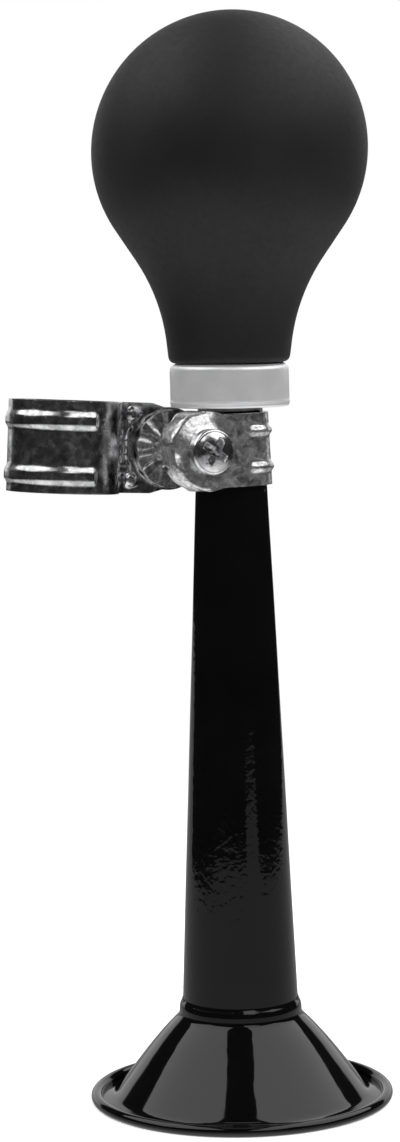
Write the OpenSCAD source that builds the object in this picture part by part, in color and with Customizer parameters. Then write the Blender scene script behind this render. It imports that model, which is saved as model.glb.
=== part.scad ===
// Bulb horn for a bicycle: a rubber bulb, a beating reed, a tapered tube with a flared bell,
// and a swivelling clamp for the handlebar.
// Z runs up along the horn's axis. The origin is the centre of the bell's mouth,
// which is the ring the horn stands on. The handlebar clamp points to -X and the
// clamp screw's head to -Y.

/* [Bulb] */
// Largest diameter of the rubber bulb
bulb_d = 60; // [54:0.2:68]
// Height of the bulb's widest ring above the collar
bulb_rise = 45.9; // [42:0.1:54]
// Thickness of the rubber
bulb_wall = 2.4; // [1.6:0.1:3.2]
// Slope of the bulb's shoulder, from upright
bulb_shoulder_slope = 34; // [28:1:40]
// Slope of the bulb's neck, from upright
bulb_neck_slope = 6.8; // [5:0.2:14]
// Radius of the hollow curve between shoulder and neck
bulb_waist_r = 41; // [34:0.5:48]
// Length of the straight run down the shoulder
bulb_shoulder_run = 8; // [4:0.1:10]

/* [Collar] */
// Outer diameter of the collar
collar_d = 26; // [25.6:0.1:28]
// Height of the collar
collar_h = 9.6; // [9:0.1:11]
// Thickness of the collar's sheet
collar_wall = 0.9; // [0.6:0.1:1]
// Radius of the collar's rounded shoulder
collar_shoulder_r = 1.6; // [1.2:0.1:2.2]

/* [Reed] */
// Thickness of the reed holder's flange
holder_flange_h = 1.6; // [1.2:0.1:2.2]
// Wall of the throat socket at the tube's top
socket_wall = 1.4; // [1:0.1:1.8]
// Length of the reed holder's lower spigot, below the collar
holder_spigot_len = 8; // [6:0.1:10]
// Outer diameter of the reed shallot
shallot_d = 6.5; // [5.5:0.1:7.5]
// Wall of the reed shallot
shallot_wall = 0.7; // [0.5:0.05:0.9]
// Length of the shallot's open face
shallot_face_len = 18.5; // [15:0.5:22]
// Distance from the shallot's axis to its open face
shallot_face_x = 1.1; // [0.7:0.1:1.4]
// Thickness of the reed tongue
tongue_t = 0.25; // [0.2:0.05:0.4]
// Lift of the tongue off the shallot, in degrees
tongue_lift = 1.6; // [1:0.1:2.4]
// Height of the ring that holds the tongue's root
wedge_h = 3.2; // [2.4:0.1:4.2]

/* [Horn tube and bell] */
// Outer diameter of the tube at its top
tube_top_d = 14.2; // [13.4:0.1:15.2]
// Outer diameter of the tube at its foot
tube_foot_d = 25.8; // [23:0.1:28]
// Length of the tube
tube_len = 132.7; // [112:0.1:152]
// Thickness of the tube's sheet
tube_wall = 0.6; // [0.4:0.05:0.9]
// Diameter of the bell's rim
bell_rim_d = 67.2; // [62:0.2:74]
// Height of the bell
bell_h = 22.8; // [21:0.1:26]
// Height of the bell's straight neck
bell_neck_h = 3.6; // [3:0.1:4.6]
// Width of the gutter between the bell's cone and its bead
bell_gutter_w = 2.9; // [2.4:0.1:3.8]
// Slope of the bell's cone under its neck, from level
bell_crown_slope = 43; // [38:1:50]
// Slope of the bell's cone at its foot, from level
bell_foot_slope = 52; // [46:1:60]
// Thickness of the bell's sheet
bell_wall = 0.7; // [0.5:0.05:0.9]
// Diameter of the rolled bead on the rim
rim_bead_d = 2.5; // [2.2:0.1:3]
// Depth of the flat that the bead stands on
rim_flat = 0.15; // [0.1:0.05:0.3]
// Length of tube inside the bell's neck
bell_lap = 2.4; // [1.8:0.1:2.8]

/* [Tube strap] */
// Gap between the collar and the strap's ears
strap_drop = 0.5; // [0.4:0.05:8]
// Height of the strap
strap_h = 15.8; // [13:0.1:16.4]
// Thickness of the strap's sheet
strap_t = 1.1; // [0.9:0.1:1.3]
// Radius of the round ears
ear_r = 8.6; // [8:0.05:9]
// Gap between the tube and the clamp screw
screw_gap = 0.4; // [0.3:0.05:1.8]
// Depth of the front ear's turned-back edge
skirt_depth = 5; // [3.4:0.1:6]
// Spacing of the two stiffening beads
strap_bead_gap = 7.9; // [6.6:0.1:8.8]

/* [Handlebar clamp] */
// Diameter of the handlebar
bar_d = 22.2; // [20:0.1:26]
// Distance from the clamp screw to the middle of the handlebar
bar_reach = 25; // [23.6:0.1:32]
// Width of the clamp
clamp_w = 19.8; // [17:0.1:24]
// Thickness of the clamp's sheet
clamp_t = 1.1; // [0.9:0.1:1.3]
// Radius of the clamp's round ears
clamp_ear_r = 9.1; // [8.6:0.05:9.4]
// Gap between the clamp's ears
clamp_gap = 1; // [0.6:0.1:2]
// Radius of the bend between the loop and the ears
clamp_bend_r = 2.8; // [1.5:0.1:3.4]
// Spacing of the two stiffening beads
clamp_bead_gap = 11.4; // [9:0.1:13]
// Half width of a stiffening bead
clamp_bead_w = 1.4; // [1.1:0.1:1.8]
// Angle at which the clamp is left standing, up from level
clamp_tilt = 3.5; // [0:0.5:6]

/* [Screw and nut] */
// Diameter of the screw's thread
screw_d = 5; // [4:0.1:6]
// Diameter of the screw's pan head
head_d = 10; // [9:0.1:11]
// Height of the screw's pan head
head_h = 3.2; // [2.8:0.1:4]
// Width of the nut across its flats
nut_af = 8; // [7.6:0.1:9]
// Height of the nut
nut_h = 4; // [3.2:0.1:5]
// Length of thread that stands out of the nut
thread_end = 3; // [2:0.1:5]

/* [Hidden] */
$fn = 96;

// Clearances
neck_clear = 0.15;     // round the bulb's neck, in the collar and on the reed holder
strap_clear = 0.06;    // between the strap and the tube that turns in it
ear_clear = 0.1;       // between the strap's back ear and the clamp
hole_clear = 0.4;      // added to the screw's diameter in the ears and washers
thread_clear = 0.06;   // added to the screw's diameter in the nut
tongue_clear = 0.08;   // each side of the tongue's root in its ring
eps = 0.01;

// Horn tube
tube_z0 = bell_h - bell_lap;
tube_z1 = tube_z0 + tube_len;
tube_slope = (tube_foot_d - tube_top_d) / 2 / tube_len;
function tube_r(z) = tube_top_d / 2 + (tube_z1 - z) * tube_slope;

// Throat socket, collar and reed holder stand on the tube's top
holder_spigot_d = tube_top_d - 2 * tube_wall - 2 * socket_wall;
socket_flange_h = 0.8;
socket_len = holder_spigot_len + 1;
collar_z0 = tube_z1 + socket_flange_h;
collar_z1 = collar_z0 + collar_h;
holder_z0 = collar_z0 + collar_wall;
holder_z1 = holder_z0 + holder_flange_h;
neck_r = collar_d / 2 - collar_wall - 2 * neck_clear;
neck_bore_r = neck_r - bulb_wall;
barb_r = neck_bore_r - neck_clear;
barb_h = collar_h - collar_wall - holder_flange_h - 1;
shallot_z0 = tube_z1 - holder_spigot_len + 1;
face_z0 = holder_z1 + barb_h + 1;
face_z1 = face_z0 + shallot_face_len;
tongue_w = shallot_d - 1.4;
tongue_root = wedge_h - 0.5;
tongue_len = shallot_face_len - 1.2;

// Bulb
bulb_z = collar_z1 + bulb_rise;
bulb_r = bulb_d / 2;

// Strap
strap_z = collar_z0 - strap_drop - ear_r;
screw_x = tube_r(strap_z - screw_d / 2) + screw_gap + screw_d / 2;
strap_z0 = strap_z - strap_h / 2;
strap_z1 = strap_z + strap_h / 2;
ear_out = tube_r(strap_z0) + strap_clear + strap_t;
ear_in = ear_out - strap_t;
rib_count = 16;
rib_step = 360 / rib_count;
rib_start = screw_d / 2 + 1.2;
rib_r = 0.7;
strap_bead_r = 0.75;
strap_wrap = 20;       // the band runs this much past its half circle, to meet the flat legs

// Handlebar clamp
near_ear_y = ear_out + ear_clear;
clamp_y = near_ear_y + clamp_t + clamp_gap / 2;
loop_r = bar_d / 2 + clamp_t;
far_ear_y = clamp_y + clamp_gap / 2;
bend_dy = clamp_gap / 2 + clamp_t + clamp_bend_r;
bend_dx = sqrt(pow(loop_r + clamp_bend_r, 2) - bend_dy * bend_dy);
bend_angle = atan2(bend_dy, bend_dx);
bend_lap = 3;          // the bend runs this many degrees into the loop, to join it
clamp_bead_lift = 0.5;
clamp_taper = 4.5;     // the arm narrows to its round ears over this length
ear_tangent_x = bar_reach - clamp_ear_r * sin(8);
ear_tangent_z = clamp_ear_r * cos(8);

// Screw stack behind the clamp
washer_t = 1;
spring_t = 1.2;
washer_y = far_ear_y + clamp_t;
spring_y = washer_y + washer_t;
nut_y = spring_y + spring_t;
screw_end_y = nut_y + nut_h + thread_end;

// Points along an arc, ends included
function arc(cx, cy, r, a0, a1, n = 12) =
    [for (i = [0:n]) let (a = a0 + (a1 - a0) * i / n) [cx + r * cos(a), cy + r * sin(a)]];

// Turns a solid that is drawn along Z so that it runs along +Y from the screw's axis
module on_screw(y = 0) {
    translate([-screw_x, y, strap_z]) rotate([-90, 0, 0]) children();
}

// Outline of the bulb, drawn inset mm inside its outer face, from the top to the neck
function shoulder_point(inset) =
    let (s = bulb_shoulder_slope, r = bulb_r - inset)
    [r * cos(s) - bulb_shoulder_run * sin(s), bulb_z - r * sin(s) - bulb_shoulder_run * cos(s)];
function waist_centre() =
    let (s = bulb_shoulder_slope, p = shoulder_point(0))
    [p[0] + bulb_waist_r * cos(s), p[1] - bulb_waist_r * sin(s)];
function waist_end(inset) =
    let (c = waist_centre(), a = bulb_neck_slope, r = bulb_waist_r + inset)
    [c[0] - r * cos(a), c[1] + r * sin(a)];
function neck_start_r(inset, z) =
    let (p = waist_end(inset)) p[0] - (p[1] - z) * tan(bulb_neck_slope);
function bulb_outline(inset, z_end, top_steps) = concat(
    arc(0, bulb_z, bulb_r - inset, 90, -bulb_shoulder_slope, top_steps),
    arc(waist_centre()[0], waist_centre()[1], bulb_waist_r + inset,
        180 - bulb_shoulder_slope, 180 - bulb_neck_slope, 8),
    [[neck_start_r(inset, z_end), z_end]]);

// The rubber bulb: a hollow sphere whose neck is gripped between collar and reed holder
module squeeze_bulb() {
    lip_z = collar_z1 + 0.1;
    curl_r = neck_start_r(0, lip_z + 1.2) - neck_r;
    curl_z = lip_z + curl_r;
    color([0.05, 0.05, 0.055]) rotate_extrude() difference() {
        polygon(concat(
            bulb_outline(0, curl_z, 26),
            arc(neck_r, curl_z, curl_r, 0, -90, 4),
            [[neck_r, holder_z1], [0, holder_z1]]));
        polygon(concat(
            bulb_outline(bulb_wall, curl_z + 1, 20),
            [[neck_bore_r, lip_z - 1], [neck_bore_r, holder_z1 - eps], [0, holder_z1 - eps]]));
    }
}

// The pressed aluminium cap that grips the bulb's neck
module bulb_collar() {
    r = collar_d / 2;
    lip_r = neck_r + neck_clear;
    foot_r = 0.6;
    shoulder_x = r - collar_shoulder_r;
    shoulder_z = collar_z1 - collar_shoulder_r;
    fold_r = collar_shoulder_r - collar_wall;
    color([0.72, 0.72, 0.73]) rotate_extrude() difference() {
        polygon(concat(
            [[holder_spigot_d / 2, collar_z0]],
            arc(r - foot_r, collar_z0 + foot_r, foot_r, -90, 0, 4),
            arc(shoulder_x, shoulder_z, collar_shoulder_r,
                0, acos((lip_r - shoulder_x) / collar_shoulder_r), 8),
            [[holder_spigot_d / 2, collar_z1 - eps]]));
        polygon(concat(
            [[-1, holder_z0], [r - collar_wall, holder_z0]],
            arc(shoulder_x, shoulder_z, fold_r, 0, acos((lip_r - shoulder_x) / fold_r), 4),
            [[lip_r, collar_z1 + 1], [-1, collar_z1 + 1]]));
    }
}

// The turned brass plug that holds the reed and joins the bulb to the tube
module reed_holder() {
    color([0.78, 0.62, 0.3]) difference() {
        union() {
            translate([0, 0, collar_z0 - holder_spigot_len])
                cylinder(d = holder_spigot_d, h = holder_z0 - collar_z0 + holder_spigot_len + eps);
            translate([0, 0, holder_z0])
                cylinder(r = collar_d / 2 - collar_wall, h = holder_flange_h);
            translate([0, 0, holder_z1]) cylinder(r = barb_r, h = barb_h - 1);
            translate([0, 0, holder_z1 + barb_h - 1]) cylinder(r1 = barb_r, r2 = barb_r - 0.8, h = 1);
        }
        translate([0, 0, collar_z0 - holder_spigot_len - 1])
            cylinder(d = shallot_d, h = holder_spigot_len + collar_h);
    }
}

// The brass shallot: a tube with a closed top and a flat open face for the tongue
module reed_shallot() {
    color([0.83, 0.68, 0.36]) difference() {
        translate([0, 0, shallot_z0]) cylinder(d = shallot_d, h = face_z1 + 1.2 - shallot_z0);
        translate([0, 0, shallot_z0 - 1])
            cylinder(d = shallot_d - 2 * shallot_wall, h = face_z1 - shallot_z0 + 1);
        translate([shallot_face_x, -shallot_d, face_z0])
            cube([shallot_d, 2 * shallot_d, shallot_face_len + 2]);
    }
}

// The springy tongue, lifted off the face at its tip
module reed_tongue() {
    color([0.9, 0.78, 0.45])
    translate([shallot_face_x + tongue_clear, -tongue_w / 2, face_z0 + 0.2]) {
        cube([tongue_t, tongue_w, tongue_root]);
        translate([0, 0, tongue_root]) rotate([0, tongue_lift, 0])
            cube([tongue_t, tongue_w, tongue_len - tongue_root]);
    }
}

// The ring that holds the tongue's root against the shallot
module reed_ring() {
    color([0.7, 0.55, 0.28]) translate([0, 0, face_z0]) difference() {
        cylinder(d = shallot_d + 2.4, h = wedge_h);
        intersection() {
            translate([0, 0, -1]) cylinder(d = shallot_d, h = wedge_h + 2);
            translate([-shallot_d, -shallot_d, -1])
                cube([shallot_d + shallot_face_x + tongue_t + 2 * tongue_clear,
                      2 * shallot_d, wedge_h + 2]);
        }
    }
}

// The ferrule in the tube's top that takes the reed holder's spigot
module throat_socket() {
    color([0.75, 0.72, 0.62]) difference() {
        union() {
            translate([0, 0, tube_z1]) cylinder(r = tube_r(tube_z1), h = socket_flange_h);
            translate([0, 0, tube_z1 - socket_len])
                cylinder(r1 = tube_r(tube_z1 - socket_len) - tube_wall,
                         r2 = tube_r(tube_z1) - tube_wall, h = socket_len);
        }
        translate([0, 0, tube_z1 - socket_len - 1])
            cylinder(d = holder_spigot_d, h = socket_len + socket_flange_h + 2);
    }
}

// The tapered sheet tube
module horn_tube() {
    color([0.03, 0.03, 0.035]) translate([0, 0, tube_z0]) difference() {
        cylinder(d1 = tube_foot_d, d2 = tube_top_d, h = tube_len);
        translate([0, 0, -1])
            cylinder(r1 = tube_foot_d / 2 - tube_wall + tube_slope,
                     r2 = tube_top_d / 2 - tube_wall - tube_slope, h = tube_len + 2);
    }
}

// Outline of the bell's sheet from the neck to the bead, drawn inset mm inside its outer face
bell_neck_r = tube_foot_d / 2 + bell_wall;
bead_r = rim_bead_d / 2;
bead_z = bead_r - rim_flat;
bead_centre_r = bell_rim_d / 2 - bead_r;
gutter_z = bead_z + bead_r * 0.4;
cone_foot_r = bell_rim_d / 2 - rim_bead_d - bell_gutter_w;
cone_top = [bell_neck_r, bell_h - bell_neck_h];
cone_foot = [cone_foot_r, gutter_z];
cone_reach = norm(cone_foot - cone_top) / 3;
cone_crown_aim = cone_top + cone_reach * [cos(bell_crown_slope), -sin(bell_crown_slope)];
cone_foot_aim = cone_foot - cone_reach * [cos(bell_foot_slope), -sin(bell_foot_slope)];
cone_steps = 10;
function cone_point(t) =
    pow(1 - t, 3) * cone_top + 3 * t * pow(1 - t, 2) * cone_crown_aim
    + 3 * t * t * (1 - t) * cone_foot_aim + pow(t, 3) * cone_foot;
function cone_slope(t) =
    let (d = cone_point(t + eps) - cone_point(t - eps)) atan2(-d[1], d[0]);
function bell_outline(inset) = concat(
    [[bell_neck_r - inset, bell_h]],
    [cone_top - inset * [1, tan(45 - bell_crown_slope / 2)]],
    [for (i = [1:cone_steps - 1]) let (s = cone_slope(i / cone_steps))
        cone_point(i / cone_steps) - inset * [sin(s), cos(s)]],
    [cone_foot - inset * [tan(bell_foot_slope / 2), 1]]);

// The flared bell: neck, cone, gutter and rolled rim
module horn_bell() {
    over = asin((gutter_z - bead_z) / bead_r);
    under = asin((gutter_z - bell_wall - bead_z) / bead_r);
    inner = bell_outline(bell_wall);
    color([0.03, 0.03, 0.035]) difference() {
        rotate_extrude() polygon(concat(
            bell_outline(0),
            arc(bead_centre_r, bead_z, bead_r, 180 - over, under - 180, 20),
            [for (i = [len(inner) - 1:-1:0]) inner[i]]));
        translate([0, 0, -rim_bead_d]) cylinder(d = bell_rim_d + 2, h = rim_bead_d);
    }
}

// Section of the strap's round band, tapered like the tube, with its two beads
module strap_section() {
    r0 = tube_r(strap_z0) + strap_clear;
    r1 = tube_r(strap_z1) + strap_clear;
    polygon([[r0, strap_z0], [r0 + strap_t, strap_z0], [r1 + strap_t, strap_z1], [r1, strap_z1]]);
    for (s = [-1, 1])
        translate([tube_r(strap_z) + strap_t, strap_z + s * strap_bead_gap / 2])
            circle(r = strap_bead_r);
}

// The strap round the tube, with a cupped front ear and a ribbed back ear
module tube_strap() {
    color([0.62, 0.62, 0.64]) difference() {
        union() {
            rotate([0, 0, -90 - strap_wrap]) rotate_extrude(angle = 180 + 2 * strap_wrap)
                strap_section();
            for (y = [-ear_out, ear_in])
                translate([-screw_x, y, strap_z0]) cube([screw_x - 0.5, strap_t, strap_h]);
            front_ear();
            back_ear();
        }
        on_screw(-ear_out - 1) cylinder(d = screw_d + hole_clear, h = 2 * ear_out + 2);
    }
}

// The front ear: a round cup whose edge is turned back round its free end
module front_ear() {
    on_screw(-ear_out) difference() {
        cylinder(r = ear_r, h = skirt_depth);
        translate([0, 0, strap_t]) cylinder(r = ear_r - strap_t, h = skirt_depth);
        translate([0, -2 * ear_r, strap_t]) cube([2 * ear_r, 4 * ear_r, skirt_depth]);
    }
}

// The back ear, with radial ribs pressed in its free end
module back_ear() {
    on_screw(ear_in) {
        cylinder(r = ear_r, h = strap_t);
        for (i = [3:rib_count - 3])
            rotate([0, 0, i * rib_step]) translate([rib_start, 0, 0]) rotate([0, 90, 0])
                cylinder(r1 = rib_r * 0.6, r2 = rib_r, h = ear_r - rib_start - 0.1);
    }
}

// Section of the clamp's loop: plain sheet, or one stiffening bead
module loop_section() {
    translate([bar_d / 2, -clamp_w / 2]) square([clamp_t, clamp_w]);
}
module loop_bead(r, lift) {
    for (s = [-1, 1]) translate([r, s * clamp_bead_gap / 2])
        polygon([[-eps, -clamp_bead_w], [lift, -clamp_bead_w / 3],
                 [lift, clamp_bead_w / 3], [-eps, clamp_bead_w]]);
}

// One half of the clamp, on the near side of its loop: half loop, bend and ear
module clamp_half() {
    rotate([0, 0, 180]) rotate_extrude(angle = 180 - bend_angle) loop_section();
    rotate([0, 0, 180]) rotate_extrude(angle = 98) loop_bead(loop_r, clamp_bead_lift);
    translate([bend_dx, -bend_dy, 0]) rotate([0, 0, 90])
        rotate_extrude(angle = 90 - bend_angle + bend_lap)
            translate([clamp_bend_r, -clamp_w / 2]) square([clamp_t, clamp_w]);
    translate([0, -clamp_gap / 2, 0]) rotate([90, 0, 0]) linear_extrude(clamp_t) union() {
        translate([bar_reach, 0]) circle(r = clamp_ear_r);
        polygon([[bend_dx - eps, -clamp_w / 2], [bar_reach - clamp_taper, -clamp_w / 2],
                 [ear_tangent_x, -ear_tangent_z], [ear_tangent_x, ear_tangent_z],
                 [bar_reach - clamp_taper, clamp_w / 2], [bend_dx - eps, clamp_w / 2]]);
    }
}

// The handlebar clamp: a loop with two ears, and serrations round the near ear
module handlebar_clamp() {
    color([0.6, 0.6, 0.62])
    translate([-screw_x, clamp_y, strap_z]) rotate([0, clamp_tilt, 0]) difference() {
        translate([-bar_reach, 0, 0]) union() {
            clamp_half();
            mirror([0, 1, 0]) clamp_half();
        }
        rotate([-90, 0, 0])
            cylinder(d = screw_d + hole_clear, h = 4 * clamp_t + clamp_gap, center = true);
    }
}

module flat_washer() {
    color([0.7, 0.7, 0.72]) on_screw(washer_y) difference() {
        cylinder(d = 2 * screw_d, h = washer_t);
        translate([0, 0, -1]) cylinder(d = screw_d + hole_clear, h = washer_t + 2);
    }
}

module lock_washer() {
    outer_r = 0.87 * screw_d;
    color([0.5, 0.5, 0.52]) on_screw(spring_y) difference() {
        cylinder(r = outer_r, h = spring_t);
        translate([0, 0, -1]) cylinder(d = screw_d + hole_clear, h = spring_t + 2);
        translate([outer_r / 2 + 0.6, 0, spring_t / 2]) rotate([25, 0, 0])
            cube([outer_r + 1, 0.5, 4 * spring_t], center = true);
    }
}

// The pan head screw with its cross recess
module clamp_screw() {
    dome_r = (head_d * head_d / 4 + head_h * head_h / 4) / head_h + head_h / 2;
    color([0.8, 0.8, 0.82]) on_screw(-ear_out) difference() {
        union() {
            cylinder(d = screw_d, h = screw_end_y + ear_out);
            intersection() {
                translate([0, 0, -head_h]) cylinder(d = head_d, h = head_h);
                translate([0, 0, dome_r - head_h]) sphere(r = dome_r);
            }
        }
        for (a = [0, 90]) rotate([0, 0, a + 28])
            translate([0, 0, -head_h]) cube([5.2, 1.1, 3.4], center = true);
    }
}

// The hexagon nut
module clamp_nut() {
    color([0.7, 0.7, 0.72]) on_screw(nut_y) difference() {
        intersection() {
            cylinder(d = nut_af / cos(30), h = nut_h, $fn = 6);
            translate([0, 0, -eps])
                cylinder(d1 = nut_af + 2 * nut_h, d2 = nut_af * 0.95, h = nut_h + 2 * eps);
        }
        translate([0, 0, -1]) cylinder(d = screw_d + thread_clear, h = nut_h + 2);
    }
}

squeeze_bulb();
bulb_collar();
reed_holder();
reed_shallot();
reed_tongue();
reed_ring();
throat_socket();
horn_tube();
horn_bell();
tube_strap();
handlebar_clamp();
flat_washer();
lock_washer();
clamp_screw();
clamp_nut();
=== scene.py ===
# %% [markdown]
# # A bicycle bulb horn
# The real horn is a rubber bulb on a tapered sheet tube with a flared bell. An aluminium collar
# joins bulb and tube, and a plated bracket holds the horn to a handlebar. The frame that is loaded
# here already has every solid in its place, in metres, with Z up and the bell's rim on the floor.
# This script gives those solids their looks, so it starts by reading the frame.

# %% Load the frame
import math

import bmesh
import bpy
import numpy as np
from mathutils import Matrix, Vector


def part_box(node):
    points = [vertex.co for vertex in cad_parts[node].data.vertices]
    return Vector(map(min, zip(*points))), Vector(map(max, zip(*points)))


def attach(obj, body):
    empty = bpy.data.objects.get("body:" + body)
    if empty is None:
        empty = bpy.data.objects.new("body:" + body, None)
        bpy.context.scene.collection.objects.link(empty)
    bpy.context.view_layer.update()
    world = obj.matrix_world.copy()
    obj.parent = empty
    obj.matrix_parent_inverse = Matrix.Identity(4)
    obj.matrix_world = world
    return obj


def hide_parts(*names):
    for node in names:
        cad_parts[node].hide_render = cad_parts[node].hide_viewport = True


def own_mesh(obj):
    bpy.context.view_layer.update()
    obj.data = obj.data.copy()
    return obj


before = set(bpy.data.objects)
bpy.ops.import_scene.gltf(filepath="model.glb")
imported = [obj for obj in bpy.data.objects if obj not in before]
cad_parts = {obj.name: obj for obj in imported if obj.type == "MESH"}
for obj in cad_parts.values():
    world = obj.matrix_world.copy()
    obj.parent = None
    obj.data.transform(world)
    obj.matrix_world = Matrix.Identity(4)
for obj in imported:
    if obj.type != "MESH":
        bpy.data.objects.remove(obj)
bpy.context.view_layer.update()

MM = 0.001
print("pieces in the frame:", ", ".join(sorted(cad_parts)))

# %% [markdown]
# ## Camera
# The photo was taken with a long lens a little above the bell, 30 degrees to the left of the clamp
# screw's head, and turned by one degree. A tall picture is measured by its height, so the sensor is
# fitted to the vertical. Distance and lens come together: the ellipses of the rim give the distance,
# and the horn's height in the picture then gives the lens. Floor and lights are laid out as the camera
# sees them, so its two level directions are kept here.

# %% Camera
to_camera, across_view = (-0.5, -0.866, 0), (0.866, -0.5, 0)
eye = Vector((-0.330, -0.57158, 0.1804))
aim = Vector((-0.00626, 0.00361, 0.11791))
photo_turn = math.radians(-1.067)

camera = bpy.data.objects.new("photo_camera", bpy.data.cameras.new("photo_camera"))
bpy.context.scene.collection.objects.link(camera)
camera.data.sensor_fit = "VERTICAL"
camera.data.sensor_height = 36
camera.data.lens = 95.18
camera.data.clip_start = 0.01
look = (aim - eye).to_track_quat("-Z", "Y").to_matrix().to_4x4()
camera.matrix_world = Matrix.Translation(eye) @ look @ Matrix.Rotation(photo_turn, 4, "Z")
bpy.context.scene.camera = camera
bpy.context.scene.view_settings.view_transform = "Standard"
print("camera is", round((aim - eye).length, 3), "m from the horn")

# %% [markdown]
# ## Helpers for materials
# A finish is a Principled shader whose colour, roughness and bump change over the surface. The
# changes come from noise in the piece's own coordinates, so they stay put when the horn moves.
# Small helpers keep each recipe short. The first ones start a finish and give it a noise.

# %% A finish and its noise
def finish(name, **fixed):
    """A new material, its node tree, and its Principled shader with the fixed values set."""
    material = bpy.data.materials.new(name)
    material.use_nodes = True
    tree = material.node_tree
    shader = tree.nodes["Principled BSDF"]
    for socket, value in fixed.items():
        shader.inputs[socket.replace("_", " ")].default_value = value
    return material, tree, shader


def place(tree, stretch=(1, 1, 1)):
    """The piece's own coordinates, stretched along its axes."""
    spot = tree.nodes.new("ShaderNodeTexCoord")
    mapping = tree.nodes.new("ShaderNodeMapping")
    mapping.inputs["Scale"].default_value = stretch
    tree.links.new(spot.outputs["Object"], mapping.inputs["Vector"])
    return mapping.outputs["Vector"]


def noise(tree, grain_mm, detail=3, stretch=(1, 1, 1), rough=0.5, bend=0):
    """Noise whose lumps are about grain_mm across."""
    node = tree.nodes.new("ShaderNodeTexNoise")
    node.inputs["Scale"].default_value = 1000 / grain_mm
    node.inputs["Detail"].default_value = detail
    node.inputs["Roughness"].default_value = rough
    node.inputs["Distortion"].default_value = bend
    tree.links.new(place(tree, stretch), node.inputs["Vector"])
    return node.outputs["Fac"]


print("finish, place and noise ready")

# %% [markdown]
# A noise runs from 0 to 1 and knows nothing of colour. A ramp turns it into the tones that are
# wanted, and a bump tilts the light as small heights would. Each new bump is laid over the ones that
# are there, so a coarse and a fine one add up and the mesh stays light.

# %% A ramp and a bump
def ramp(tree, source, stops):
    """Turns a value into colours: stops are (place, grey or colour)."""
    node = tree.nodes.new("ShaderNodeValToRGB")
    band = node.color_ramp
    while len(band.elements) < len(stops):
        band.elements.new(0.5)
    for element, (at, tone) in zip(band.elements, stops):
        element.position = at
        element.color = (*tone, 1) if isinstance(tone, tuple) else (tone, tone, tone, 1)
    tree.links.new(source, node.inputs["Fac"])
    return node.outputs["Color"]


def bump(tree, shader, source, height_mm, strength=1.0):
    """Adds a bump of that height to the ones that the shader already has."""
    node = tree.nodes.new("ShaderNodeBump")
    node.inputs["Strength"].default_value = strength
    node.inputs["Distance"].default_value = height_mm * MM
    tree.links.new(source, node.inputs["Height"])
    below = shader.inputs["Normal"]
    if below.is_linked:
        tree.links.new(below.links[0].from_socket, node.inputs["Normal"])
    tree.links.new(node.outputs["Normal"], below)


print("ramp and bump ready")

# %% [markdown]
# ## Rubber
# The bulb is moulded black rubber with a matt face: dark, a little uneven, with a fine grain that
# spreads the light into one broad grey sheen. A high roughness does that, and a trace of sheen
# lightens the edges as powdery rubber does.

# %% Rubber
matt_rubber, tree, shader = finish("matt_rubber", IOR=1.45, Sheen_Weight=0.02, Sheen_Roughness=0.5)
cloud = noise(tree, 14, 4)
tree.links.new(ramp(tree, cloud, [(0.3, (0.0040, 0.0040, 0.0042)), (0.75, (0.0075, 0.0075, 0.0078))]),
               shader.inputs["Base Color"])
tree.links.new(ramp(tree, noise(tree, 1.2, 5), [(0.3, 0.56), (0.7, 0.66)]), shader.inputs["Roughness"])
bump(tree, shader, noise(tree, 0.35, 3), 0.02, 0.5)
print(matt_rubber.name, "has", len(tree.nodes), "nodes")

# %% [markdown]
# ## Enamel
# Tube and bell are dipped in gloss black enamel. Such a coat is never flat: it has orange peel one to
# four millimetres across and long shallow sags, and both make the edges of a reflection ragged.
# The colour itself is nearly black, so the bump matters most. The tube hung while it dried and has a
# finer peel than the bell, so each has its own recipe.

# %% Enamel
def enamel(name, peel_mm, peel_height, sag_mm, sag_height):
    """Gloss black enamel with orange peel and sags of the given sizes."""
    material, tree, shader = finish(name, IOR=1.5)
    near_black = [(0.3, (0.0016, 0.0016, 0.0018)), (0.8, (0.0030, 0.0030, 0.0032))]
    tree.links.new(ramp(tree, noise(tree, 22, 3), near_black), shader.inputs["Base Color"])
    tree.links.new(ramp(tree, noise(tree, 3, 4), [(0.35, 0.035), (0.75, 0.08)]),
                   shader.inputs["Roughness"])
    bump(tree, shader, noise(tree, sag_mm, 1, (1, 1, 0.6)), sag_height)
    bump(tree, shader, noise(tree, peel_mm, 1), peel_height)
    return material


tube_enamel = enamel("tube_enamel", 1.35, 0.032, 9, 0.10)
bell_enamel = enamel("bell_enamel", 4.0, 0.035, 14, 0.12)
print(tube_enamel.name, "and", bell_enamel.name)

# %% [markdown]
# ## Aluminium
# The collar is spun aluminium left satin: fine rings run round it, and handling has left a few tiny
# pits. Rings that fine are better left to the shader than to the mesh: anisotropy spreads a highlight
# up and down across them, as a spun face does. The coarser rings are noise squeezed along Z, and the
# pits are the small dark middles of a cell noise. A face that is part metal and part plain grey
# stands for the dull film that aluminium grows.

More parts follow.
